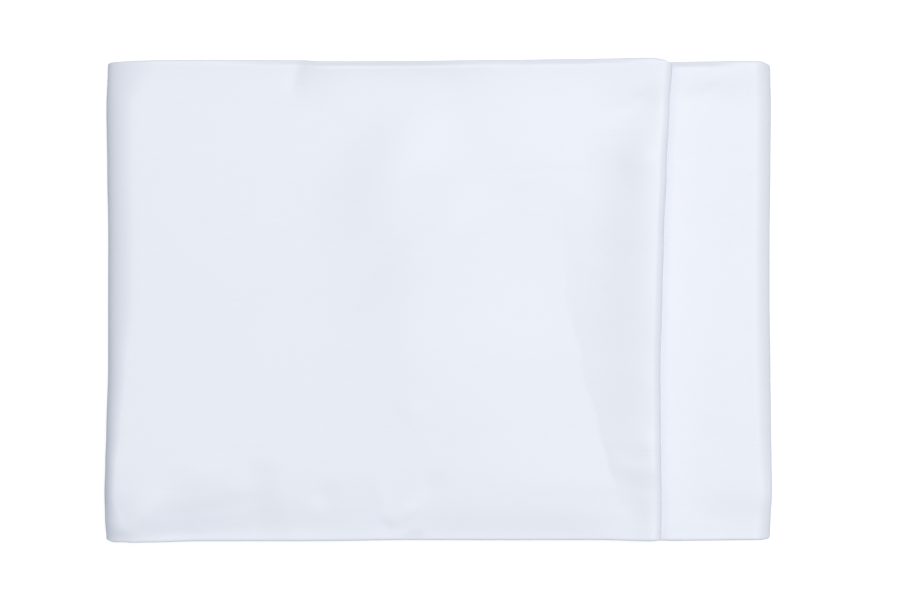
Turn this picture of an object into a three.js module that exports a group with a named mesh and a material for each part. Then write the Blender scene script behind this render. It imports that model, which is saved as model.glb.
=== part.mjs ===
// A fitted bed sheet, folded into a flat packet.
// The cloth is first folded lengthwise into a narrow strip, then the strip is folded back and forth.
// Millimetres, +Z up. The origin is under the middle of the packet, on the surface that it lies on.
// +X runs along the packet's length, +Y across it towards the back.

import * as THREE from 'three';

// Driving dimensions

// The strip of folded cloth, and the gaps between its layers
const STRIP_THICKNESS = 2.4;
const LAYER_GAP = 0.6;
const STRIP_SLACK = 0.9;
const PANEL_SLACK = 1.2;

// How far the inner folds and ends lie inside the ends of the packet, and more beside a long round end
const LOW_RIGHT_INSET = 12;
const INNER_LEFT_INSET = 9.5;
const INNER_LEFT_SHARE = 0.61;
const INNER_LEFT_SPARE = 2.7;
const LOW_LEFT_STEP = 1;
const HIDDEN_END_INSET = 4;
const COVERED_INSET = 18;

// Where the front edge of the strip's hidden end turns towards its fold
const HIDDEN_BEND_X = -160;

// The fold of the top panel, the tail of the strip under it, and the rise that leads up to it
const TAIL_SHARE = 0.2;
const RIDGE_FOLD_REACH = 4.4;
const RISE_START = 82;
const DIP_REACH = 55;

// The crown of the strip beside that fold, and the rim along the panel's back edge
const CROWN_HEIGHT = 0.9;
const CROWN_INSET = 4.5;
const CROWN_LEFT = 4.5;
const CROWN_RIGHT = 10;
const BACK_RIM = 0.8;
const BACK_RIM_REACH = 8;

// The radius that the upper right-hand fold hangs around
const HANG_RADIUS = 9.5;

// The share of its height by which the stack settles towards its right end and its front edge
const SETTLE_SHARE = 0.07;
const SETTLE_X = { start: 90, end: 190 };
const SETTLE_Y = { start: -98, end: -138 };

const CLOTH_COLOUR = 0xe9eef6;
const CLOTH_ROUGHNESS = 0.85;
const CLOTH_METALNESS = 0;

// Rows of a table as objects, from its column names and each row's values.
function table(columns, rows) {
  return rows.map((row) => Object.fromEntries(columns.map((column, index) => [column, row[index]])));
}

// Where the folds lie along X, from the front of the packet to its back.
// left and right are the packet's ends, wrap is the length of the round left end, and tuck is the crease
// over the hidden end of the strip. The top panel dips by dip towards it, then climbs to its own fold,
// which stands ridge above the panel. A crisp of 1 makes a sharp crease at the tuck, and 0 a soft valley.
// hang is the angle in degrees by which the upper right-hand fold hangs down over the one below it.
const FOLD_LINES = table(
  ['y', 'left', 'wrap', 'tuck', 'dip', 'crisp', 'ridge', 'fold', 'right', 'hang'],
  [
    [-146, -199, 16, 110, 0, 0, 0.8, 132.9, 199.6, 53.5],
    [-134, -199.8, 10, 112, 0, 0.1, 0.8, 133.2, 199.9, 48],
    [-118, -200.1, 6, 107, 0.3, 0.5, 1, 133.2, 199.9, 32.5],
    [-100, -199.6, 6, 101.5, 0.8, 0.9, 2, 132.9, 199.6, 40.5],
    [-80, -199, 8, 96, 1, 0.8, 1.7, 132.7, 199.4, 47.5],
    [-40, -197.9, 10.5, 85.5, 1, 0.55, 2.6, 132.5, 199, 51.5],
    [0, -197.9, 15, 77, 1.1, 0.5, 3.5, 133.6, 198.5, 50.5],
    [40, -197.8, 15.5, 75, 1.1, 0.35, 3.6, 134.6, 198.5, 51.5],
    [80, -198.4, 15, 74, 1.1, 0, 3, 136.3, 199, 54],
    [120, -198.9, 16, 74, 1, 0, 0.8, 137.9, 199.3, 53],
    [146, -198, 30, 74, 0.8, 0, 0.6, 139.6, 199, 58],
  ],
);

// The front and back edges of the top panel along X.
const PANEL_EDGES = [
  { x: -200, front: -145, back: 141.2 },
  { x: -195, front: -145.9, back: 143.2 },
  { x: -187, front: -144.9, back: 143.4 },
  { x: -172, front: -144.6, back: 143.4 },
  { x: -142, front: -143.9, back: 143.6 },
  { x: -98, front: -143.8, back: 143.5 },
  { x: -82, front: -143.8, back: 143.5 },
  { x: -70, front: -143.7, back: 142.8 },
  { x: -22, front: -143.1, back: 143 },
  { x: 37, front: -143.2, back: 143.5 },
  { x: 85, front: -143.1, back: 144.2 },
  { x: 97, front: -143.1, back: 144.4 },
  { x: 128, front: -143.8, back: 144.9 },
  { x: 134, front: -143.6, back: 143.9 },
  { x: 140, front: -143.2, back: 141.2 },
];

// The front and back edges of the layer that shows as a strip to the right of the top panel.
const STRIP_EDGES = [
  { x: -200, front: -142.4, back: 142 },
  { x: 100, front: -142.8, back: 142.7 },
  { x: 145, front: -143.8, back: 142.8 },
  { x: 160, front: -143.7, back: 143.1 },
  { x: 181, front: -143.5, back: 143.4 },
  { x: 192, front: -143.4, back: 143.2 },
  { x: 200, front: -142.6, back: 140.9 },
];

// The front and back edges of the layers below the strip.
const LOW_EDGES = [
  { x: -200, front: -141.2, back: 141 },
  { x: -120, front: -142.1, back: 142.4 },
  { x: -30, front: -140.9, back: 141.3 },
  { x: 60, front: -142.2, back: 142.3 },
  { x: 150, front: -141.3, back: 140.2 },
  { x: 200, front: -142, back: 140 },
];

// The front and back edges of the strip's hidden end. The top panel reaches further and droops past it.
const HIDDEN_EDGES = [
  { x: -182, front: -141.2, back: 140.6 },
  { x: -160, front: -127.5, back: 141.2 },
  { x: -80, front: -127.0, back: 141.6 },
  { x: 20, front: -131.0, back: 141.8 },
  { x: 120, front: -130.0, back: 141.2 },
];

// The layers of the strip, bottom to top. The insets are how far each layer's edges lie inside the
// outline that shows from above.
const LAYERS = {
  bottom: { level: 0, lift: 0, edges: LOW_EDGES, frontInset: 0.3, backInset: 0 },
  second: { level: 1, lift: 0, edges: STRIP_EDGES, frontInset: 0.5, backInset: 1.8 },
  third: { level: 2, lift: 0, edges: LOW_EDGES, frontInset: 0.9, backInset: -0.6 },
  strip: { level: 3, lift: STRIP_SLACK, edges: STRIP_EDGES, frontInset: 0, backInset: 0 },
  hidden: { level: 4, lift: STRIP_SLACK, edges: HIDDEN_EDGES, frontInset: 0, backInset: 0 },
  tail: { level: 4, lift: STRIP_SLACK, edges: PANEL_EDGES, frontInset: 0.9, backInset: 0.6 },
  panel: { level: 5, lift: STRIP_SLACK + PANEL_SLACK, edges: PANEL_EDGES, frontInset: 0, backInset: 0 },
};

// Soft ridges (height above zero) and troughs (below zero) in the two layers that show.
// Each runs from one point to another, reaches so far to the left and right of its direction, and fades
// in over the first share of its length and out over the last.
const CREASES = table(
  ['layer', 'from', 'to', 'left', 'right', 'height', 'fadeIn', 'fadeOut'],
  [
    // front left corner: a ridge from the corner, and the drop in front of it
    ['panel', [-191, -145], [-150, -104], 13, 8, 1.4, 0.2, 0.8],
    ['panel', [-166, -114], [-122, -99], 9, 8, 0.4, 0.5, 0.5],
    ['panel', [-176, -134], [-92, -117], 8, 26, -1, 0.3, 0.25],
    // the front edge droops past the hidden end, most at its left and right
    ['panel', [-206, -147], [-84, -138], 10, 30, -2.3, 0.3, 0.6],
    ['panel', [-150, -141], [-10, -140], 12, 30, -1.2, 0.5, 0.5],
    ['panel', [-44, -144], [118, -144], 12, 30, -1.4, 0.3, 0.3],
    // the panel swells a little in its middle
    ['panel', [-22, 130], [-6, -116], 70, 34, 1.3, 0.25, 0.35],
    // soft diagonal swells, longer towards the left
    ['panel', [4, 132], [-66, 22], 24, 18, 1.2, 0.4, 0.5],
    ['panel', [40, 74], [-54, -12], 14, 13, 1.1, 0.45, 0.5],
    // a fold in the back edge, higher on its right
    ['panel', [-69, 147], [-79, 116], 20, 9, 1.1, 0.05, 0.9],
    // the back edge rises more here
    ['panel', [-84, 150], [50, 150], 12, 12, 1, 0.15, 0.3],
    // the strip beside the panel
    ['strip', [142, -134], [200, -135], 14, 22, -0.8, 0.5, 0.5],
    ['strip', [140, 130], [176, 139], 7, 7, 0.5, 0.5, 0.5],
  ],
);

// The rounding of the strip's front and back edges: how full its thickness is at a depth from the edge.
const RIM = [
  { depth: 0, fill: 0.4 },
  { depth: 0.5, fill: 0.8 },
];

// How finely the runs and folds of the strip are divided
const HIDDEN_STEPS = 2;
const HIDDEN_BEND_STEPS = 1;
const STRIP_COVERED_STEPS = 2;
const CROWN_STEPS = 4;
const STRIP_SHOWN_STEPS = 6;
const HANG_STEPS = 4;
const LOWER_STEPS = 2;
const PANEL_STEPS = 24;
const RISE_STEPS = 8;
const TAIL_STEPS = 1;
const SMALL_FOLD_STEPS = 5;
const HANG_FOLD_STEPS = 6;
const RIDGE_FOLD_STEPS = 8;
const WRAP_STEPS = 11;
const STATIONS = 24;
const EDGE_BUNCHING = 0.5;

const HALF = STRIP_THICKNESS / 2;
const PITCH = STRIP_THICKNESS + LAYER_GAP;
const SMALL_FOLD_REACH = PITCH / 2;
const HANG_FOLD_REACH = (PITCH + STRIP_SLACK) / 2;
const FULL_WIDTH = FOLD_LINES[FOLD_LINES.length - 1].y - FOLD_LINES[0].y;
const HANGING = ['strip', 'third'];

const { clamp, degToRad, lerp, smoothstep } = THREE.MathUtils;

// Reads one column of a table at a place between its rows, easing from row to row.
function along(rows, key, at, column) {
  const last = rows.length - 1;
  const above = rows.findIndex((row) => row[key] > at);
  if (above === 0) {
    return rows[0][column];
  }
  if (above < 0) {
    return rows[last][column];
  }
  const low = rows[above - 1];
  const high = rows[above];
  return lerp(low[column], high[column], smoothstep(at, low[key], high[key]));
}

// Rises slowly at first, with a slope that grows and then levels off sooner.
function gather(share) {
  const s = clamp(share, 0, 1);
  return s ** 3 * (4 - 3 * s);
}

// Rises straight from a sharp start, and rounds off at its top.
function lean(share) {
  const s = clamp(share, 0, 1);
  return (5 * s - s ** 5) / 4;
}

function foldLinesAt(share) {
  const y = FOLD_LINES[0].y + share * FULL_WIDTH;
  const columns = Object.keys(FOLD_LINES[0]).filter((column) => column !== 'y');
  return { y, ...Object.fromEntries(columns.map((column) => [column, along(FOLD_LINES, 'y', y, column)])) };
}

// The front and back edges of a layer at a place along X.
function edgesAt(name, x) {
  const layer = LAYERS[name];
  return {
    front: along(layer.edges, 'x', x, 'front') + layer.frontInset,
    back: along(layer.edges, 'x', x, 'back') - layer.backInset,
  };
}

// How far along its way a place is from the start of a range to its end, eased.
function easeThrough(at, { start, end }) {
  return smoothstep((at - start) / (end - start), 0, 1);
}

// The height of a layer's middle before creases. The stack settles towards its right and front edges.
function layerHeight(layer, x, y) {
  const firm = (1 - easeThrough(x, SETTLE_X)) * (1 - easeThrough(y, SETTLE_Y));
  return HALF + (layer.level * PITCH + layer.lift) * (1 - SETTLE_SHARE * (1 - firm));
}

// The raised or sunken height of the creases of one layer at a point.
function creaseHeight(name, x, y) {
  let height = 0;
  for (const { layer, from, to, left, right, height: full, fadeIn, fadeOut } of CREASES) {
    if (layer !== name) {
      continue;
    }
    const [spanX, spanY] = [to[0] - from[0], to[1] - from[1]];
    const [offX, offY] = [x - from[0], y - from[1]];
    const share = clamp((offX * spanX + offY * spanY) / (spanX ** 2 + spanY ** 2), 0, 1);
    const distance = Math.hypot(offX - share * spanX, offY - share * spanY);
    const reach = spanX * offY - spanY * offX > 0 ? left : right;
    const strength = smoothstep(share, 0, fadeIn) * smoothstep(1 - share, 0, fadeOut);
    height += full * strength * Math.exp(-((distance / reach) ** 2));
  }
  return height;
}

// The top panel dips to the tuck, climbs from there to its fold, and rises a little along its back edge.
function panelHeight(x, y, back, lines) {
  const crest = lines.fold - HALF - RIDGE_FOLD_REACH;
  const riseStart = Math.max(lines.tuck, RISE_START);
  const dip = -lines.dip * Math.exp(-((Math.min(x - lines.tuck, 0) / DIP_REACH) ** 2));
  const softRise = gather((x - riseStart) / (crest - riseStart));
  const crispRise = lean((x - lines.tuck) / (crest - lines.tuck));
  const rise = (lines.ridge + lines.dip) * lerp(softRise, crispRise, lines.crisp);
  const rim = BACK_RIM * Math.exp(-(back - y) / BACK_RIM_REACH);
  return dip + rise + rim + creaseHeight('panel', x, y);
}

// The strip crowns beside the fold of the panel that lies on it.
function stripHeight(x, y, lines) {
  const past = x - lines.fold - CROWN_INSET;
  const crown = CROWN_HEIGHT * Math.exp(-((past / (past < 0 ? CROWN_LEFT : CROWN_RIGHT)) ** 2));
  return crown + creaseHeight('strip', x, y);
}

// The height of a layer's middle line at a place along X and a share of the way across.
function heightOn(name, x, share, lines) {
  const { front, back } = edgesAt(name, x);
  const y = lerp(front, back, share);
  const base = layerHeight(LAYERS[name], x, y);
  if (name === 'panel') {
    return base + panelHeight(x, y, back, lines);
  }
  if (name === 'strip') {
    return base + stripHeight(x, y, lines);
  }
  return base;
}

// Bends the points past startX down around a level line, as the upper right-hand fold hangs.
function hang(points, startX, levelZ) {
  for (const point of points) {
    if (point.x > startX && HANGING.includes(point.from)) {
      const angle = (point.x - startX) / HANG_RADIUS;
      const radius = HANG_RADIUS + point.z - levelZ;
      point.x = startX + radius * Math.sin(angle);
      point.z = levelZ - HANG_RADIUS + radius * Math.cos(angle);
    }
  }
}

// The middle line of the whole strip in the section at one share of the way across the packet.
// Each point knows the layers that it lies between, and its share of the way from one to the other.
function sectionPath(across) {
  const lines = foldLinesAt(across);
  const points = [];

  // A run along one layer, through stretches that each end at an X after a number of steps.
  function run(name, startX, stretches) {
    let fromX = startX;
    points.push({ x: fromX, z: heightOn(name, fromX, across, lines), from: name, to: name, share: 0 });
    for (const { toX, steps } of stretches) {
      for (let step = 1; step <= steps; step += 1) {
        const x = lerp(fromX, toX, step / steps);
        points.push({ x, z: heightOn(name, x, across, lines), from: name, to: name, share: 0 });
      }
      fromX = toX;
    }
  }

  // A half-round turn from one layer to the next. A reach below zero bulges to the left.
  function turn(from, to, rootX, reach, steps) {
    const startZ = heightOn(from, rootX, across, lines);
    const endZ = heightOn(to, rootX, across, lines);
    for (let step = 1; step < steps; step += 1) {
      const angle = Math.PI * step / steps;
      const x = rootX + reach * Math.sin(angle);
      const z = lerp(startZ, endZ, (1 - Math.cos(angle)) / 2);
      points.push({ x, z, from, to, share: step / steps });
    }
  }

  const wrapRoot = lines.left + HALF + lines.wrap;
  const innerInset = Math.max(INNER_LEFT_INSET, INNER_LEFT_SHARE * lines.wrap + INNER_LEFT_SPARE);
  const innerLeft = lines.left + HALF + innerInset;
  const lowLeft = innerLeft + LOW_LEFT_STEP;
  const ridgeRoot = lines.fold - HALF - RIDGE_FOLD_REACH;
  const tailEnd = lerp(lines.tuck, ridgeRoot, TAIL_SHARE);
  const hiddenEnd = lines.tuck - HIDDEN_END_INSET;
  const covered = lines.fold - COVERED_INSET;
  const crown = lines.fold + CROWN_INSET;
  const lowRight = lines.right - HALF - SMALL_FOLD_REACH - LOW_RIGHT_INSET;
  const hangAngle = degToRad(lines.hang);
  const hangStart = lines.right - HALF - HANG_FOLD_REACH - HANG_RADIUS * Math.sin(hangAngle);
  const hangEnd = hangStart + HANG_RADIUS * hangAngle;
  const [upper, lower] = HANGING.map((name) => layerHeight(LAYERS[name], hangStart, lines.y));
  const hangLevel = (upper + lower) / 2;

  run('hidden', hiddenEnd, [
    { toX: HIDDEN_BEND_X, steps: HIDDEN_STEPS },
    { toX: innerLeft, steps: HIDDEN_BEND_STEPS },
  ]);
  turn('hidden', 'strip', innerLeft, -SMALL_FOLD_REACH, SMALL_FOLD_STEPS);
  run('strip', innerLeft, [
    { toX: covered, steps: STRIP_COVERED_STEPS },
    { toX: crown, steps: CROWN_STEPS },
    { toX: hangStart, steps: STRIP_SHOWN_STEPS },
    { toX: hangEnd, steps: HANG_STEPS },
  ]);
  turn('strip', 'third', hangEnd, HANG_FOLD_REACH, HANG_FOLD_STEPS);
  run('third', hangEnd, [
    { toX: hangStart, steps: HANG_STEPS },
    { toX: lowLeft, steps: LOWER_STEPS },
  ]);
  hang(points, hangStart, hangLevel);
  turn('third', 'second', lowLeft, -SMALL_FOLD_REACH, SMALL_FOLD_STEPS);
  run('second', lowLeft, [{ toX: lowRight, steps: LOWER_STEPS }]);
  turn('second', 'bottom', lowRight, SMALL_FOLD_REACH, SMALL_FOLD_STEPS);
  run('bottom', lowRight, [{ toX: wrapRoot, steps: LOWER_STEPS }]);
  turn('bottom', 'panel', wrapRoot, -lines.wrap, WRAP_STEPS);
  run('panel', wrapRoot, [
    { toX: lines.tuck, steps: PANEL_STEPS },
    { toX: ridgeRoot, steps: RISE_STEPS },
  ]);
  turn('panel', 'tail', ridgeRoot, RIDGE_FOLD_REACH, RIDGE_FOLD_STEPS);
  run('tail', ridgeRoot, [{ toX: tailEnd, steps: TAIL_STEPS }]);
  return points;
}

// The front or back edge of the strip at a point of its path.
function edgeOf(point, side) {
  const [start, end] = [point.from, point.to].map((name) => edgesAt(name, point.x)[side]);
  return lerp(start, end, point.share);
}

// The places across the packet, as shares of its width, with how full the strip's thickness is there.
// They lie closer together near the edges.
function crossStations() {
  const rim = RIM.map(({ depth, fill }) => ({ share: depth / FULL_WIDTH, fill }));
  const body = [];
  for (let index = 0; index <= STATIONS; index += 1) {
    const even = index / STATIONS;
    const bunched = (1 - Math.cos(Math.PI * even)) / 2;
    const inside = lerp(even, bunched, EDGE_BUNCHING);
    body.push({ share: lerp(HALF / FULL_WIDTH, 1 - HALF / FULL_WIDTH, inside), fill: 1 });
  }
  const farRim = rim.map(({ share, fill }) => ({ share: 1 - share, fill })).reverse();
  return [...rim, ...body, ...farRim];
}

// The unit vector square to the path in its section, on the left of its direction.
function pathNormal(points, index) {
  const before = points[Math.max(index - 1, 0)];
  const after = points[Math.min(index + 1, points.length - 1)];
  const length = Math.hypot(after.x - before.x, after.z - before.z);
  return { x: -(after.z - before.z) / length, z: (after.x - before.x) / length };
}

// The strip as a closed grid: its two faces, its front and back edges and its two hidden ends.
function foldedStrip() {
  const positions = [];
  const stations = crossStations();
  for (const station of stations) {
    const points = sectionPath(station.share);
    points.forEach((point, index) => {
      const normal = pathNormal(points, index);
      const y = lerp(edgeOf(point, 'front'), edgeOf(point, 'back'), station.share);
      const half = HALF * station.fill;
      positions.push(point.x + normal.x * half, y, point.z + normal.z * half);
      positions.push(point.x - normal.x * half, y, point.z - normal.z * half);
    });
  }

  const columns = positions.length / 6 / stations.length;
  const rows = stations.length;
  const vertex = (row, column, face) => 2 * (row * columns + column) + face;
  const indices = [];
  const quad = (a, b, c, d) => indices.push(a, b, c, a, c, d);
  for (let row = 0; row < rows - 1; row += 1) {
    for (let column = 0; column < columns - 1; column += 1) {
      const corners = [[row, column], [row, column + 1], [row + 1, column + 1], [row + 1, column]];
      const [a, b, c, d] = corners.map(([r, k]) => vertex(r, k, 0));
      const [e, f, g, h] = corners.map(([r, k]) => vertex(r, k, 1));
      quad(a, b, c, d);
      quad(h, g, f, e);
    }
  }
  for (let column = 0; column < columns - 1; column += 1) {
    const last = rows - 1;
    quad(vertex(0, column, 1), vertex(0, column + 1, 1), vertex(0, column + 1, 0), vertex(0, column, 0));
    quad(
      vertex(last, column, 0), vertex(last, column + 1, 0),
      vertex(last, column + 1, 1), vertex(last, column, 1),
    );
  }
  for (let row = 0; row < rows - 1; row += 1) {
    const last = columns - 1;
    quad(vertex(row, 0, 0), vertex(row + 1, 0, 0), vertex(row + 1, 0, 1), vertex(row, 0, 1));
    quad(
      vertex(row, last, 1), vertex(row + 1, last, 1),
      vertex(row + 1, last, 0), vertex(row, last, 0),
    );
  }

  const geometry = new THREE.BufferGeometry();
  geometry.setAttribute('position', new THREE.Float32BufferAttribute(positions, 3));
  geometry.setIndex(indices);
  geometry.computeVertexNormals();
  return geometry;
}

const cotton = new THREE.MeshStandardMaterial({
  color: CLOTH_COLOUR,
  roughness: CLOTH_ROUGHNESS,
  metalness: CLOTH_METALNESS,
});

const sheet = new THREE.Mesh(foldedStrip(), cotton);
sheet.name = 'sheet';

const packet = new THREE.Group();
packet.add(sheet);

export default packet;
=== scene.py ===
"""A fitted bed sheet folded into a flat packet, as one cloth.

The cloth is folded lengthwise into a strip of plies, and the strip is folded back and forth. Every
point of the cloth has a station along the strip and a row across the plies, and lay_row lays a whole row
on the folds. Folds, edges and creases are in millimetres, in the frame of the CAD model. Meshes, textures,
floor and light are in metres.
"""

import math
from typing import NamedTuple

import bpy
import numpy as np
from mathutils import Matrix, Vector


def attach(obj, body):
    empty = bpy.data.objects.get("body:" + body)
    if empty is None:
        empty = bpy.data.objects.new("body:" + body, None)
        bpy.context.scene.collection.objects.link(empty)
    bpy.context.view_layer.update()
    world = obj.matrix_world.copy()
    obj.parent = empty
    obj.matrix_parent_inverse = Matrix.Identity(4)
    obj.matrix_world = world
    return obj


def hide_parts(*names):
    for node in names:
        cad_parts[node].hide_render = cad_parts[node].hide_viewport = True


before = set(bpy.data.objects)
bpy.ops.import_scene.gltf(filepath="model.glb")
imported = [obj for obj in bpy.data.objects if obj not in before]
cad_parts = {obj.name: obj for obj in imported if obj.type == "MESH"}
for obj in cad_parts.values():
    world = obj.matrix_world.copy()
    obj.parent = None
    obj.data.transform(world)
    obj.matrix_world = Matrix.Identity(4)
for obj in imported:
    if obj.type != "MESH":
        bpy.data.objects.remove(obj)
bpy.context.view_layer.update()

MM = 0.001

# The strip and its plies
STRIP_HALF = 1.2
LAYER_PITCH = 3.0
STRIP_SLACK = 0.9
PANEL_SLACK = 1.2
PANEL_LIFT = STRIP_SLACK + PANEL_SLACK
CLOTH_THICKNESS = 0.3
PLY_PITCH = 0.5
FLAP_SHARE = 0.16
HEM_INSET = 2.5

# The folds of the strip, as in the CAD model
LOW_RIGHT_INSET = 12.0
INNER_LEFT_INSET = 9.5
INNER_LEFT_SHARE = 0.61
INNER_LEFT_SPARE = 2.7
LOW_LEFT_STEP = 1.0
HIDDEN_END_INSET = 4.0
COVERED_INSET = 18.0
TAIL_SHARE = 0.2
RIDGE_FOLD_REACH = 4.4
RISE_START = 82.0
DIP_REACH = 55.0
CROWN_HEIGHT = 0.9
CROWN_INSET = 4.5
CROWN_LEFT = 4.5
CROWN_RIGHT = 10.0
BACK_RIM = 0.8
BACK_RIM_REACH = 8.0
HANG_RADIUS = 9.5
SETTLE_SHARE = 0.07
SETTLE_X = (90.0, 190.0)
SETTLE_Y = (-98.0, -138.0)
SMALL_FOLD_REACH = LAYER_PITCH / 2
HANG_FOLD_REACH = (LAYER_PITCH + STRIP_SLACK) / 2

# How the rounding of a back edge fades away from it
DROP_LEAD = 1.0
DROP_REACH = 2.0


class FoldLine(NamedTuple):
    """Where the folds lie along X at one place across the packet.

    left, fold and right are where the left turn, the panel's own fold and the strip's right edge end. wrap
    is the reach of the left turn. The panel dips by dip at the tuck, just past the hidden end, and climbs
    from there to ridge above its level. crisp is 0 where the climb starts softly and 1 where it starts
    with a sharp crease. hang is the droop of the right edge, in degrees.
    """
    y: float
    left: float
    wrap: float
    tuck: float
    dip: float
    crisp: float
    ridge: float
    fold: float
    right: float
    hang: float


FOLD_LINES = [
    FoldLine(-146, -199.0, 16, 110, 0, 0.0, 0.8, 132.9, 199.6, 53.5),
    FoldLine(-134, -199.8, 10, 112, 0, 0.1, 0.8, 133.2, 199.9, 48),
    FoldLine(-118, -200.1, 6, 107, 0.3, 0.5, 1.0, 133.2, 199.9, 32.5),
    FoldLine(-100, -199.6, 6, 101.5, 0.8, 0.9, 2.0, 132.9, 199.6, 40.5),
    FoldLine(-80, -199.0, 8, 96, 1.0, 0.8, 1.7, 132.7, 199.4, 47.5),
    FoldLine(-40, -197.9, 10.5, 85.5, 1.0, 0.55, 2.6, 132.5, 199.0, 51.5),
    FoldLine(0, -197.9, 15, 77, 1.1, 0.5, 3.5, 133.6, 198.5, 50.5),
    FoldLine(40, -197.8, 15.5, 75, 1.1, 0.35, 3.6, 134.6, 198.5, 51.5),
    FoldLine(80, -198.4, 15, 74, 1.1, 0.0, 3.0, 136.3, 199.0, 54),
    FoldLine(120, -198.9, 16, 74, 1.0, 0.0, 0.8, 137.9, 199.3, 53),
    FoldLine(146, -198.0, 30, 74, 0.8, 0.0, 0.6, 139.6, 199.0, 58),
]
FRONT_Y = FOLD_LINES[0].y
FULL_WIDTH = FOLD_LINES[-1].y - FRONT_Y


class Edge(NamedTuple):
    """The front and back edges of a layer at one place along X, and how far the back edge rounds down."""
    x: float
    front: float
    back: float
    drop: float = 0.0


# The panel, and the tail under its fold
PANEL_EDGES = [
    Edge(x=-200, front=-145.0, back=141.2, drop=0.6),
    Edge(x=-195, front=-145.9, back=143.2, drop=0.6),
    Edge(x=-187, front=-144.9, back=143.4, drop=0.5),
    Edge(x=-172, front=-144.6, back=143.4, drop=0.3),
    Edge(x=-142, front=-143.9, back=143.6, drop=0.3),
    Edge(x=-98, front=-143.8, back=143.5, drop=1.4),
    Edge(x=-82, front=-143.8, back=143.5, drop=2.0),
    Edge(x=-70, front=-143.7, back=142.8, drop=2.8),
    Edge(x=-22, front=-143.1, back=143.0, drop=3.2),
    Edge(x=37, front=-143.2, back=143.5, drop=1.6),
    Edge(x=85, front=-143.1, back=144.2, drop=2.2),
    Edge(x=97, front=-143.1, back=144.4, drop=1.6),
    Edge(x=128, front=-143.8, back=144.9, drop=0.5),
    Edge(x=134, front=-143.6, back=143.9, drop=0.3),
    Edge(x=140, front=-143.2, back=141.2, drop=0.3),
]

# The strip that shows beside the panel, and the second layer
STRIP_EDGES = [
    Edge(x=-200, front=-142.4, back=142.0),
    Edge(x=100, front=-142.8, back=142.7),
    Edge(x=145, front=-143.8, back=142.8, drop=2.2),
    Edge(x=160, front=-143.7, back=143.1, drop=1.8),
    Edge(x=181, front=-143.5, back=143.4, drop=0.3),
    Edge(x=192, front=-143.4, back=143.2, drop=0.3),
    Edge(x=200, front=-142.6, back=140.9, drop=0.3),
]

# The bottom and third layers
LOW_EDGES = [
    Edge(x=-200, front=-141.2, back=141.0),
    Edge(x=-120, front=-142.1, back=142.4),
    Edge(x=-30, front=-140.9, back=141.3),
    Edge(x=60, front=-142.2, back=142.3),
    Edge(x=150, front=-141.3, back=140.2),
    Edge(x=200, front=-142.0, back=140.0),
]

# The hidden layer, which stops short of the panel's front edge
HIDDEN_EDGES = [
    Edge(x=-182, front=-141.2, back=140.6),
    Edge(x=-160, front=-127.5, back=141.2),
    Edge(x=-80, front=-127.0, back=141.6),
    Edge(x=20, front=-131.0, back=141.8),
    Edge(x=120, front=-130.0, back=141.2),
]


class Layer(NamedTuple):
    """One layer: its place in the stack, its table of edges and how far it lies inside them.

    lift is what the layer lies above its level.
    """
    level: int
    lift: float
    edges: list
    front_inset: float
    back_inset: float


LAYERS = {
    "bottom": Layer(level=0, lift=0, edges=LOW_EDGES, front_inset=0.3, back_inset=0),
    "second": Layer(level=1, lift=0, edges=STRIP_EDGES, front_inset=0.5, back_inset=1.8),
    "third": Layer(level=2, lift=0, edges=LOW_EDGES, front_inset=0.9, back_inset=-0.6),
    "strip": Layer(level=3, lift=STRIP_SLACK, edges=STRIP_EDGES, front_inset=0, back_inset=0),
    "hidden": Layer(level=4, lift=STRIP_SLACK, edges=HIDDEN_EDGES, front_inset=0, back_inset=0),
    "tail": Layer(level=4, lift=STRIP_SLACK, edges=PANEL_EDGES, front_inset=0.9, back_inset=0.6),
    "panel": Layer(level=5, lift=PANEL_LIFT, edges=PANEL_EDGES, front_inset=0, back_inset=0),
}


class Crease(NamedTuple):
    """A soft ridge (height above zero) or trough in a layer, along a bowed line.

    bow is how far the line's middle bulges to the left of its direction. left and right are how far the
    crease reaches to either side. It fades in over the first share of its length and out over the last,
    and an end with no fade keeps its full height.
    """
    layer: str
    start: tuple
    end: tuple
    bow: float
    left: float
    right: float
    height: float
    fade_in: float = 0.5
    fade_out: float = 0.5


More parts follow.
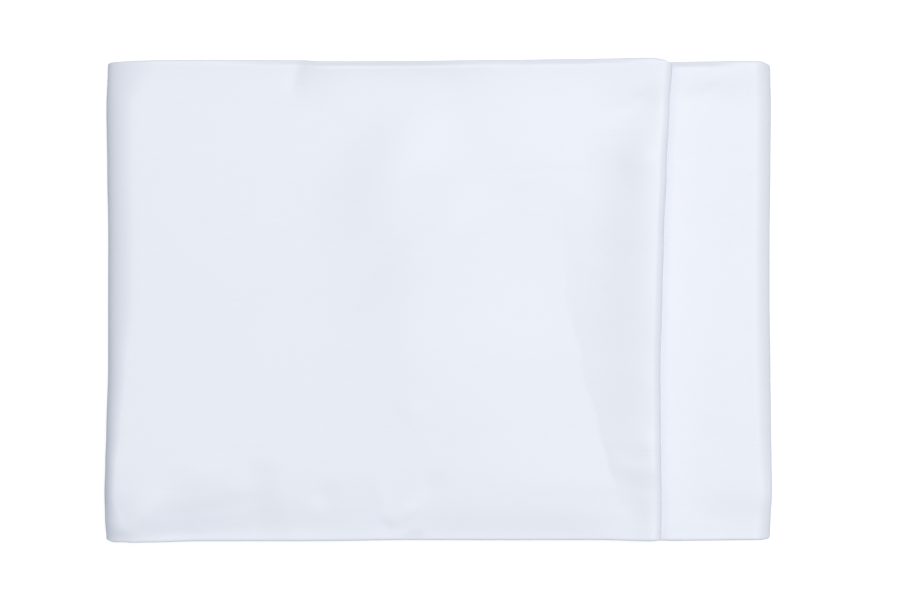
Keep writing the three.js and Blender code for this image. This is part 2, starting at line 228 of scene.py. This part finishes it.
CREASES = [
    # front left corner: a ridge from it, a low one beyond, and the drops to the left and in front
    Crease("panel", start=(-191, -145), end=(-150, -104), bow=3, left=13, right=8, height=1.4,
           fade_in=0.2, fade_out=0.8),
    Crease("panel", start=(-166, -114), end=(-122, -99), bow=2, left=9, right=8, height=0.4),
    Crease("panel", start=(-194, -111), end=(-202, -150), bow=0, left=14, right=60, height=-1.5,
           fade_in=0.55, fade_out=0),
    Crease("panel", start=(-176, -134), end=(-92, -117), bow=-2, left=8, right=26, height=-1.0,
           fade_in=0.3, fade_out=0.25),
    # the front edge droops past the hidden layer, most at its left
    Crease("panel", start=(-206, -147), end=(-84, -138), bow=0, left=10, right=30, height=-2.3,
           fade_in=0.3, fade_out=0.6),
    Crease("panel", start=(-150, -141), end=(-10, -140), bow=0, left=12, right=30, height=-1.2),
    Crease("panel", start=(-44, -144), end=(118, -144), bow=0, left=12, right=30, height=-1.4,
           fade_in=0.3, fade_out=0.3),
    # short creases behind the droop
    Crease("panel", start=(-98, -94), end=(-117, -122), bow=1, left=6, right=12, height=-0.55),
    Crease("panel", start=(-59, -110), end=(-74, -128), bow=0, left=4.5, right=9, height=-0.45),
    Crease("panel", start=(-38, -98), end=(-35, -140), bow=2, left=4, right=5, height=0.25),
    Crease("panel", start=(2, -100), end=(-12, -122), bow=0, left=6, right=4, height=-0.3),
    # the pucker at the front edge: a short ridge, and a notch in the edge beside it
    Crease("panel", start=(-31, -135), end=(-9, -120), bow=0, left=5, right=4, height=0.6, fade_in=0.15),
    Crease("panel", start=(-21.5, -146.5), end=(-8, -139), bow=0, left=3, right=3, height=-0.8,
           fade_in=0.1),
    # the panel swells a little in its middle
    Crease("panel", start=(-22, 130), end=(-6, -116), bow=0, left=70, right=34, height=1.3,
           fade_in=0.25, fade_out=0.35),
    # two soft diagonal swells, a broad one that reaches the back edge, and a short crease
    Crease("panel", start=(4, 132), end=(-66, 22), bow=0, left=24, right=18, height=1.2, fade_in=0.4),
    Crease("panel", start=(40, 74), end=(-54, -12), bow=0, left=14, right=13, height=1.1, fade_in=0.45),
    Crease("panel", start=(80, 10), end=(34, 158), bow=0, left=50, right=42, height=1.3,
           fade_in=0.6, fade_out=0),
    Crease("panel", start=(-30, -60), end=(-4, -70), bow=0, left=5, right=7, height=0.2),
    # a fold in the back edge, higher on its right
    Crease("panel", start=(-69, 147), end=(-79, 116), bow=-1, left=20, right=9, height=1.1,
           fade_in=0, fade_out=0.9),
    Crease("panel", start=(-80, 147), end=(-88, 122), bow=-1, left=3, right=5, height=-0.5, fade_in=0),
    # the back edge rises to the right of that fold
    Crease("panel", start=(-84, 150), end=(50, 150), bow=0, left=12, right=12, height=1.0,
           fade_in=0.15, fade_out=0.3),
    # the wedge by the panel's back right corner, a low ridge in front of it, and thin creases
    Crease("panel", start=(136, 130.5), end=(92, 99), bow=0, left=14, right=6, height=-1.1,
           fade_in=0.35, fade_out=0.65),
    Crease("panel", start=(129, 92), end=(106, 80), bow=1, left=14, right=6, height=0.3, fade_in=0.3),
    Crease("panel", start=(126, 104), end=(92, 103), bow=0, left=2.5, right=2.5, height=0.15),
    Crease("panel", start=(124, 112), end=(98, 110), bow=0, left=2.5, right=2.5, height=0.15),
    Crease("panel", start=(120, 79), end=(0, 78), bow=0.5, left=2.5, right=2.5, height=-0.12),
    Crease("panel", start=(79, 19), end=(104, 25), bow=0, left=3, right=3, height=0.12),
    # a nick by the panel's fold, and the small bulge behind it
    Crease("panel", start=(104, -92), end=(131, -93.5), bow=0, left=3, right=6, height=-0.5),
    Crease("panel", start=(118, -86), end=(136, -87.5), bow=0, left=4, right=3, height=0.35, fade_out=0),
    # the strip beside the panel: the droop of its front edge, and two creases at the back
    Crease("strip", start=(142, -134), end=(206, -135), bow=0, left=14, right=22, height=-1.1,
           fade_out=0),
    Crease("strip", start=(140, 130), end=(176, 139), bow=-2, left=4, right=5, height=0.5),
    Crease("strip", start=(150, 120), end=(180, 134), bow=0, left=4, right=8, height=-0.4),
]

# Straight pieces that stand for a crease's bowed line
CREASE_PIECES = 8

# Steps of each stretch of the strip's path, and how many times finer they are on the ply that shows
STRETCHES = {
    "hidden": (5, 1),
    "hidden_turn": (5, 1),
    "covered": (5, 1),
    "shown": (10, 4),
    "hang": (5, 2),
    "hang_turn": (6, 2),
    "hang_back": (4, 1),
    "third": (4, 1),
    "third_turn": (5, 1),
    "second": (4, 1),
    "second_turn": (5, 1),
    "bottom": (4, 1),
    "wrap": (12, 2),
    "panel_left": (24, 3),
    "panel_right": (12, 4),
    "rise": (7, 4),
    "ridge_turn": (8, 2),
    "tail": (4, 1),
}

# The X where the panel's steps become closer
PANEL_SPLIT = 10.0

# The flat cloth is measured along the strip from the start of the left turn
BEFORE_WRAP = list(STRETCHES.values())[:list(STRETCHES).index("wrap")]

# Rows of the covered plies, as shares of the way across, of the flap, and round the folds between plies
COARSE_SHARES = [0, 0.02, 0.045, 0.08, 0.13, 0.2, 0.3, 0.42, 0.55, 0.68, 0.79, 0.88, 0.94, 0.975, 1]
FLAP_ROWS = 4
INNER_FOLD_ROWS = 4
OUTER_FOLD_ROWS = 7

# Rows of the ply that shows: from one share of the way across to the next, and how many lie between
FINE_ROWS = [(0.0, 0.02, 5), (0.02, 0.16, 28), (0.16, 0.70, 42), (0.70, 0.97, 36), (0.97, 1.0, 9)]

# Plies of the strip, bottom to top, and how far the roots of their folds lie inside the edges
PLY_HEIGHTS = [PLY_PITCH * place for place in (-2, -1, 0, 1, 2)]
FRONT_ROOT = 2 * PLY_PITCH + CLOTH_THICKNESS / 2
BACK_ROOT = 1.5 * PLY_PITCH + CLOTH_THICKNESS / 2

# The width of a ply, for places on the flat cloth and for how far a row lies from the folds
NOMINAL_WIDTH = 288.0

# How far the covered plies sag under the one that shows, away from the folds
PLY_SAG = {"panel": 0.8, "strip": 0.5}
SAG_MARGIN = 10.0

# Looks, with lengths in metres
FLAT_MAP = "weave"
PALE_COTTON = (0.835, 0.842, 0.905)
DEEP_COTTON = (0.805, 0.812, 0.881)
PATCH_COTTON = (0.820, 0.827, 0.893)
GLOSS_RANGE = (0.47, 0.43)
SPECULAR_LEVEL = 0.5
SHEEN_WEIGHT = 0.12
SHEEN_ROUGHNESS = 0.5
THREAD_PITCH = 0.42 * MM
THREAD_WANDER = 1.5
THREAD_WANDER_SCALE = 0.05
THREAD_DETAIL = 1.0
WEAVE_DEPTH = 0.016 * MM
SLUB_LENGTH = 22 * MM
SLUB_WIDTH = 0.8 * MM
SLUB_DEPTH = 0.02 * MM
SLUB_DETAIL = 2.0
PATCH_SIZE = 90 * MM
PATCH_DETAIL = 3.0

# How far apart the bands of a wave texture lie at scale 1
WAVE_REPEAT = math.pi / 10

# The stage, in metres
FLOOR_COLOUR = (0.18, 0.18, 0.18)
FLOOR_GLOW = 0.90
FLOOR_ROUGHNESS = 0.9
FLOOR_SPECULAR = 0.1
FLOOR_SIZE = 8.0
WORLD_COLOUR = (0.73, 0.86, 1.0)
WORLD_STRENGTH = 0.376
KEY_COLOUR = (1.0, 0.975, 0.925)
KEY_WATTS = 446.0
KEY_PLACE = (1.6, 1.2, 7.8)
KEY_SIZE = 2.6

# The photograph's frame, in millimetres at the height of the packet's outline
FRAME_WIDTH = 538.5
VIEW_X = 6.8
VIEW_Y = 0.3
FOCUS_Z = 11.0
LENS = 200.0
SENSOR = 36.0


def ease(share):
    share = np.clip(share, 0.0, 1.0)
    return share * share * (3.0 - 2.0 * share)


def gather(share):
    """A rise that starts slowly and is steepest two thirds of the way."""
    share = np.clip(share, 0.0, 1.0)
    return share ** 3 * (4.0 - 3.0 * share)


def lean(share):
    """A straight slope from a sharp start, rounded off at its top."""
    share = np.clip(share, 0.0, 1.0)
    return (5.0 * share - share ** 5) / 4.0


def mix(a, b, share):
    return a + (b - a) * share


def eased(rows, key, column, at):
    """One column of a table at places between its rows, easing from row to row."""
    keys = np.array([getattr(row, key) for row in rows], float)
    values = np.array([getattr(row, column) for row in rows], float)
    low = np.clip(np.searchsorted(keys, at, side="right") - 1, 0, len(rows) - 2)
    share = ease((at - keys[low]) / (keys[low + 1] - keys[low]))
    return mix(values[low], values[low + 1], share)


def fold_line_at(y):
    return FoldLine(y, *(float(eased(FOLD_LINES, "y", column, y)) for column in FoldLine._fields[1:]))


def nearest_on_crease(crease, x, y):
    """The distance from a crease's bowed line, whether a point lies on its left, and the share along it."""
    start, end = np.array(crease.start, float), np.array(crease.end, float)
    along = end - start
    left = np.array([-along[1], along[0]]) / np.hypot(*along)
    middle = (start + end) / 2 + 2 * crease.bow * left
    shares = np.linspace(0, 1, CREASE_PIECES + 1)[:, None]
    line = (1 - shares) ** 2 * start + 2 * shares * (1 - shares) * middle + shares ** 2 * end
    nearest = np.full(np.shape(x), np.inf)
    on_left = np.zeros(np.shape(x), bool)
    along_share = np.zeros(np.shape(x))
    for piece, (a, b) in enumerate(zip(line[:-1], line[1:])):
        span = b - a
        off_x, off_y = x - a[0], y - a[1]
        share = np.clip((off_x * span[0] + off_y * span[1]) / (span @ span), 0, 1)
        distance = np.hypot(off_x - share * span[0], off_y - share * span[1])
        closer = distance < nearest
        nearest = np.where(closer, distance, nearest)
        on_left = np.where(closer, span[0] * off_y - span[1] * off_x > 0, on_left)
        along_share = np.where(closer, (piece + share) / CREASE_PIECES, along_share)
    return nearest, on_left, along_share


def crease_height(layer, x, y):
    total = np.zeros(np.shape(x))
    for crease in CREASES:
        if crease.layer == layer:
            distance, on_left, share = nearest_on_crease(crease, x, y)
            reach = np.where(on_left, crease.left, crease.right)
            strength = np.full(np.shape(x), crease.height)
            if crease.fade_in:
                strength = strength * ease(share / crease.fade_in)
            if crease.fade_out:
                strength = strength * ease((1 - share) / crease.fade_out)
            total = total + strength * np.exp(-(distance / reach) ** 2)
    return total


def panel_height(x, y, lines, from_back):
    """The dip to the tuck, the rise from there to the ridge, the rim along the back, and the creases."""
    crest = lines.fold - STRIP_HALF - RIDGE_FOLD_REACH
    rise_start = max(lines.tuck, RISE_START)
    dip = -lines.dip * np.exp(-(np.minimum(x - lines.tuck, 0) / DIP_REACH) ** 2)
    soft_rise = gather((x - rise_start) / (crest - rise_start))
    crisp_rise = lean((x - lines.tuck) / (crest - lines.tuck))
    fold = dip + (lines.ridge + lines.dip) * mix(soft_rise, crisp_rise, lines.crisp)
    rim = BACK_RIM * np.exp(-from_back / BACK_RIM_REACH)
    return fold + rim + crease_height("panel", x, y)


def strip_height(x, y, lines):
    """The crown beside the panel's fold, and the creases."""
    past = x - lines.fold - CROWN_INSET
    reach = np.where(past < 0, CROWN_LEFT, CROWN_RIGHT)
    return CROWN_HEIGHT * np.exp(-(past / reach) ** 2) + crease_height("strip", x, y)


def back_drop(name, x, from_back):
    """How far a layer's back edge rounds down."""
    drop = eased(LAYERS[name].edges, "x", "drop", x)
    return drop * np.exp(-((from_back + DROP_LEAD) / DROP_REACH) ** 2)


def layer_height(layer, x, y):
    """The middle of a layer; the stack settles towards its right end and its front edge."""
    firm = 1.0
    for place, (start, end) in ((x, SETTLE_X), (y, SETTLE_Y)):
        firm = firm * (1 - ease((place - start) / (end - start)))
    return STRIP_HALF + (layer.level * LAYER_PITCH + layer.lift) * (1 - SETTLE_SHARE * (1 - firm))


def edges_of(name, x):
    layer = LAYERS[name]
    front = eased(layer.edges, "x", "front", x) + layer.front_inset
    back = eased(layer.edges, "x", "back", x) - layer.back_inset
    return front, back


class Path:
    """The strip's middle line in the section at one share of the way across the packet."""

    def __init__(self, share, fine):
        self.share = share
        self.fine = fine
        self.lines = fold_line_at(FRONT_Y + share * FULL_WIDTH)
        # each part holds the X, height, front edge, back edge and sag of its points
        self.parts = []

    def steps(self, stretch):
        count, times = STRETCHES[stretch]
        return count * times if self.fine else count

    def height(self, name, x):
        front, back = edges_of(name, x)
        y = mix(front, back, self.share)
        base = layer_height(LAYERS[name], x, y) - back_drop(name, x, back - y)
        if name == "panel":
            return base + panel_height(x, y, self.lines, back - y)
        if name == "strip":
            return base + strip_height(x, y, self.lines)
        return base

    def run(self, name, start, *stops):
        """Along one layer, through stops that are an X and the stretch that ends there."""
        places = [np.array([start], float)]
        for to_x, stretch in stops:
            places.append(np.linspace(places[-1][-1], to_x, self.steps(stretch) + 1)[1:])
        x = np.concatenate(places)
        inside = ease(np.minimum(abs(x - x[0]), abs(x - x[-1])) / SAG_MARGIN)
        self.parts.append([x, self.height(name, x), *edges_of(name, x), PLY_SAG.get(name, 0) * inside])

    def turn(self, start, end, root, reach, stretch):
        """A half-round turn from one layer to the next; a reach below zero bulges to the left."""
        angle = np.linspace(0, np.pi, self.steps(stretch) + 1)[1:-1]
        x = root + reach * np.sin(angle)
        roots = np.array([root])
        z = mix(self.height(start, roots), self.height(end, roots), (1 - np.cos(angle)) / 2)
        front, back = (mix(a, b, angle / np.pi) for a, b in zip(edges_of(start, x), edges_of(end, x)))
        self.parts.append([x, z, front, back, np.zeros(len(x))])

    def hang(self, start, level):
        """Bends what was laid past start down around a level line."""
        for x, z, *_ in self.parts:
            past = x > start
            angle = (x[past] - start) / HANG_RADIUS
            radius = HANG_RADIUS + z[past] - level
            x[past] = start + radius * np.sin(angle)
            z[past] = level - HANG_RADIUS + radius * np.cos(angle)


def lay_path(share, fine):
    """Lays the whole strip, from its hidden end to the tail under the panel's fold."""
    path = Path(share, fine)
    lines = path.lines
    wrap_root = lines.left + STRIP_HALF + lines.wrap
    inner_inset = max(INNER_LEFT_INSET, INNER_LEFT_SHARE * lines.wrap + INNER_LEFT_SPARE)
    inner_left = lines.left + STRIP_HALF + inner_inset
    low_left = inner_left + LOW_LEFT_STEP
    ridge_root = lines.fold - STRIP_HALF - RIDGE_FOLD_REACH
    tail_end = mix(lines.tuck, ridge_root, TAIL_SHARE)
    covered = lines.fold - COVERED_INSET
    low_right = lines.right - STRIP_HALF - SMALL_FOLD_REACH - LOW_RIGHT_INSET
    hang_angle = math.radians(lines.hang)
    hang_start = lines.right - STRIP_HALF - HANG_FOLD_REACH - HANG_RADIUS * math.sin(hang_angle)
    hang_end = hang_start + HANG_RADIUS * hang_angle
    hung = [layer_height(LAYERS[name], hang_start, lines.y) for name in ("strip", "third")]
    hang_level = sum(hung) / 2

    path.run("hidden", lines.tuck - HIDDEN_END_INSET, (inner_left, "hidden"))
    path.turn("hidden", "strip", inner_left, -SMALL_FOLD_REACH, "hidden_turn")
    path.run("strip", inner_left, (covered, "covered"), (hang_start, "shown"), (hang_end, "hang"))
    path.turn("strip", "third", hang_end, HANG_FOLD_REACH, "hang_turn")
    path.run("third", hang_end, (hang_start, "hang_back"), (low_left, "third"))
    path.hang(hang_start, hang_level)
    path.turn("third", "second", low_left, -SMALL_FOLD_REACH, "third_turn")
    path.run("second", low_left, (low_right, "second"))
    path.turn("second", "bottom", low_right, SMALL_FOLD_REACH, "second_turn")
    path.run("bottom", low_right, (wrap_root, "bottom"))
    path.turn("bottom", "panel", wrap_root, -lines.wrap, "wrap")
    path.run("panel", wrap_root, (PANEL_SPLIT, "panel_left"), (lines.tuck, "panel_right"),
             (ridge_root, "rise"))
    path.turn("panel", "tail", ridge_root, RIDGE_FOLD_REACH, "ridge_turn")
    path.run("tail", ridge_root, (tail_end, "tail"))
    return [np.concatenate(columns) for columns in zip(*path.parts)]


class Row(NamedTuple):
    """A line along the cloth: its share of the way across, a nudge in Y and its height in the strip.

    across is its place on the flat cloth, and a fine row has more stations where the cloth shows.
    """
    share: float
    nudge: float
    height: float
    across: float
    fine: bool


def ply_rows():
    """The rows across the cloth, from the flap rolled inside to the free hem underneath."""
    rows = []

    def add(share, nudge, height, fine):
        across = 0.0
        if rows:
            before = rows[-1]
            step = (share - before.share) * NOMINAL_WIDTH + nudge - before.nudge
            across = before.across + math.hypot(step, height - before.height)
        rows.append(Row(share, nudge, height, across, fine))

    def ply(height, shares, fine, back_root=BACK_ROOT):
        for share in shares:
            add(share, mix(FRONT_ROOT, -back_root, share), height, fine)

    def fold(share, start, end, count, fine):
        radius = abs(end - start) / 2
        for angle in np.linspace(0, np.pi, count + 1)[1:-1]:
            bulge = radius * math.sin(angle)
            nudge = FRONT_ROOT - bulge if share == 0 else bulge - BACK_ROOT
            add(share, nudge, mix(start, end, (1 - math.cos(angle)) / 2), fine)

    lowest, low, middle, high, highest = PLY_HEIGHTS
    coarse = np.array(COARSE_SHARES)
    fine = np.concatenate([np.linspace(a, b, count, endpoint=b == 1) for a, b, count in FINE_ROWS])
    ply(middle, np.linspace(1 - FLAP_SHARE, 1, FLAP_ROWS), False)
    fold(1, middle, high, INNER_FOLD_ROWS, False)
    ply(high, coarse[::-1], False)
    fold(0, high, low, INNER_FOLD_ROWS, False)
    ply(low, coarse, False)
    fold(1, low, highest, OUTER_FOLD_ROWS, True)
    ply(highest, fine[::-1], True)
    fold(0, highest, lowest, OUTER_FOLD_ROWS, True)
    ply(lowest, coarse, False, back_root=HEM_INSET)
    return rows


def lay_row(row):
    """The points of one row on the folds, and their places along the flat cloth."""
    x, z, front, back, sag = lay_path(row.share, row.fine)
    along = np.concatenate([[0], np.cumsum(np.hypot(np.diff(x), np.diff(z)))])
    tangent_x, tangent_z = np.gradient(x, along), np.gradient(z, along)
    length = np.hypot(tangent_x, tangent_z)
    y = mix(front, back, row.share) + row.nudge
    height = np.full(len(x), row.height)
    if not row.fine:
        height = height - sag * ease(min(row.share, 1 - row.share) * NOMINAL_WIDTH / SAG_MARGIN)
    points = np.stack([x - height * tangent_z / length, y, z + height * tangent_x / length], axis=1)
    anchor = sum(count * times if row.fine else count for count, times in BEFORE_WRAP)
    return points, along - along[anchor]


def join_rows(first, second, fine_of_coarse):
    """The faces between two rows, given as their point numbers; a fine row meets a coarse one in fans."""
    if len(first) == len(second):
        return list(zip(first[:-1], second[:-1], second[1:], first[1:]))
    faces = []
    fine, coarse = (first, second) if len(first) > len(second) else (second, first)
    flip = fine is second
    for step in range(len(coarse) - 1):
        low, high = fine_of_coarse[step], fine_of_coarse[step + 1]
        middle = (low + high) // 2
        fan = [(fine[k], coarse[step], fine[k + 1]) for k in range(low, middle)]
        fan.append((fine[middle], coarse[step], coarse[step + 1]))
        fan += [(fine[k], coarse[step + 1], fine[k + 1]) for k in range(middle, high)]
        faces += [face[::-1] for face in fan] if flip else fan
    return faces


def make_cloth():
    """The whole cloth as one mesh on its folds, with a map of its flat places in metres."""
    times = np.concatenate([[finer] * count for count, finer in STRETCHES.values()])
    fine_of_coarse = np.concatenate([[0], np.cumsum(times)])
    points, flat, faces = [], [], []
    before, start = None, 0
    for row in ply_rows():
        laid, along = lay_row(row)
        numbers = list(range(start, start + len(laid)))
        start += len(laid)
        points.append(laid)
        flat.append(np.stack([along, np.full(len(along), row.across)], axis=1))
        if before:
            faces += join_rows(before, numbers, fine_of_coarse)
        before = numbers
    flat = np.concatenate(flat) * MM
    mesh = bpy.data.meshes.new("sheet_cloth")
    mesh.from_pydata((np.concatenate(points) * MM).tolist(), [], faces)
    uv_map = mesh.uv_layers.new(name=FLAT_MAP)
    corners = np.empty(len(mesh.loops), int)
    mesh.loops.foreach_get("vertex_index", corners)
    uv_map.data.foreach_set("uv", flat[corners].ravel())
    mesh.polygons.foreach_set("use_smooth", np.ones(len(mesh.polygons), bool))
    mesh.update()
    cloth = bpy.data.objects.new("sheet_cloth", mesh)
    bpy.context.scene.collection.objects.link(cloth)
    body = cloth.modifiers.new("thickness", "SOLIDIFY")
    body.thickness = CLOTH_THICKNESS * MM
    body.offset = 0
    size = flat.max(axis=0) - flat.min(axis=0)
    return cloth, size


def cotton():
    """White cotton: a plain weave with slubs along the strip, slow changes of tone, and a soft gloss."""
    material = bpy.data.materials.new("white_cotton")
    material.use_nodes = True
    nodes, links = material.node_tree.nodes, material.node_tree.links
    shader = nodes["Principled BSDF"]
    flat = nodes.new("ShaderNodeUVMap")
    flat.uv_map = FLAT_MAP

    def texture(kind, place, **values):
        node = nodes.new(kind)
        links.new(place, node.inputs["Vector"])
        for name, value in values.items():
            node.inputs[name.replace("_", " ")].default_value = value
        return node

    def threads(direction):
        node = texture("ShaderNodeTexWave", flat.outputs["UV"], Scale=WAVE_REPEAT / THREAD_PITCH,
                       Distortion=THREAD_WANDER, Detail=THREAD_DETAIL, Detail_Scale=THREAD_WANDER_SCALE)
        node.bands_direction = direction
        return node.outputs["Fac"]

    def noise(place, scale, detail):
        node = texture("ShaderNodeTexNoise", place, Scale=scale, Detail=detail)
        node.noise_dimensions = "2D"
        return node.outputs["Fac"]

    def mix_by(factor, kind, a, b):
        node = nodes.new("ShaderNodeMix")
        node.data_type = kind
        links.new(factor, node.inputs["Factor"])
        for name, value in (("A", a), ("B", b)):
            socket = next(s for s in node.inputs if s.name == name and s.enabled)
            if isinstance(value, bpy.types.NodeSocket):
                links.new(value, socket)
            else:
                socket.default_value = value
        return next(s for s in node.outputs if s.enabled)

    def bump(height, depth, below=None):
        node = nodes.new("ShaderNodeBump")
        node.inputs["Strength"].default_value = 1.0
        node.inputs["Distance"].default_value = depth
        links.new(height, node.inputs["Height"])
        if below:
            links.new(below, node.inputs["Normal"])
        return node.outputs["Normal"]

    over = texture("ShaderNodeTexChecker", flat.outputs["UV"], Scale=1 / THREAD_PITCH)
    weave = mix_by(over.outputs["Fac"], "FLOAT", threads("X"), threads("Y"))
    stretched = nodes.new("ShaderNodeMapping")
    stretched.inputs["Scale"].default_value = (1 / SLUB_LENGTH, 1 / SLUB_WIDTH, 1)
    links.new(flat.outputs["UV"], stretched.inputs["Vector"])
    slubs = noise(stretched.outputs["Vector"], 1.0, SLUB_DETAIL)
    patches = noise(flat.outputs["UV"], 1 / PATCH_SIZE, PATCH_DETAIL)

    by_slub = mix_by(slubs, "RGBA", (*PALE_COTTON, 1), (*DEEP_COTTON, 1))
    tone = mix_by(patches, "RGBA", by_slub, (*PATCH_COTTON, 1))
    links.new(tone, shader.inputs["Base Color"])
    links.new(mix_by(patches, "FLOAT", *GLOSS_RANGE), shader.inputs["Roughness"])
    links.new(bump(weave, WEAVE_DEPTH, bump(slubs, SLUB_DEPTH)), shader.inputs["Normal"])
    shader.inputs["Specular IOR Level"].default_value = SPECULAR_LEVEL
    shader.inputs["Sheen Weight"].default_value = SHEEN_WEIGHT
    shader.inputs["Sheen Roughness"].default_value = SHEEN_ROUGHNESS
    return material


def add_floor():
    """A pale ground that glows, hidden from the light that the cloth scatters."""
    mesh = bpy.data.meshes.new("floor")
    half = FLOOR_SIZE / 2
    corners = [(-half, -half, 0), (half, -half, 0), (half, half, 0), (-half, half, 0)]
    mesh.from_pydata(corners, [], [(0, 1, 2, 3)])
    floor = bpy.data.objects.new("floor", mesh)
    bpy.context.scene.collection.objects.link(floor)
    material = bpy.data.materials.new("pale_floor")
    material.use_nodes = True
    shader = material.node_tree.nodes["Principled BSDF"]
    shader.inputs["Base Color"].default_value = (*FLOOR_COLOUR, 1)
    shader.inputs["Emission Color"].default_value = (1, 1, 1, 1)
    shader.inputs["Emission Strength"].default_value = FLOOR_GLOW
    shader.inputs["Roughness"].default_value = FLOOR_ROUGHNESS
    shader.inputs["Specular IOR Level"].default_value = FLOOR_SPECULAR
    mesh.materials.append(material)
    floor.visible_diffuse = False


def add_light(name, place, colour, size, watts):
    """A round soft box that faces the packet."""
    data = bpy.data.lights.new(name, "AREA")
    data.shape = "DISK"
    data.size = size
    data.color = colour
    data.energy = watts
    light = bpy.data.objects.new(name, data)
    light.location = place
    light.rotation_euler = Vector(place).to_track_quat("Z", "Y").to_euler()
    bpy.context.scene.collection.objects.link(light)


def add_world():
    world = bpy.data.worlds.new("studio")
    world.use_nodes = True
    background = world.node_tree.nodes["Background"]
    background.inputs["Color"].default_value = (*WORLD_COLOUR, 1)
    background.inputs["Strength"].default_value = WORLD_STRENGTH
    bpy.context.scene.world = world


def add_camera():
    """Straight above the packet, as wide as the photograph's frame."""
    data = bpy.data.cameras.new("camera")
    data.lens = LENS
    data.sensor_width = SENSOR
    camera = bpy.data.objects.new("camera", data)
    distance = FRAME_WIDTH * MM * LENS / SENSOR
    camera.location = (VIEW_X * MM, VIEW_Y * MM, FOCUS_Z * MM + distance)
    bpy.context.scene.collection.objects.link(camera)
    bpy.context.scene.camera = camera


cloth, flat_size = make_cloth()
cloth.data.materials.append(cotton())
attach(cloth, "root")
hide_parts("sheet")

add_floor()
add_world()
add_light("key", KEY_PLACE, KEY_COLOUR, KEY_SIZE, KEY_WATTS)
add_camera()
bpy.context.scene.view_settings.view_transform = "Standard"
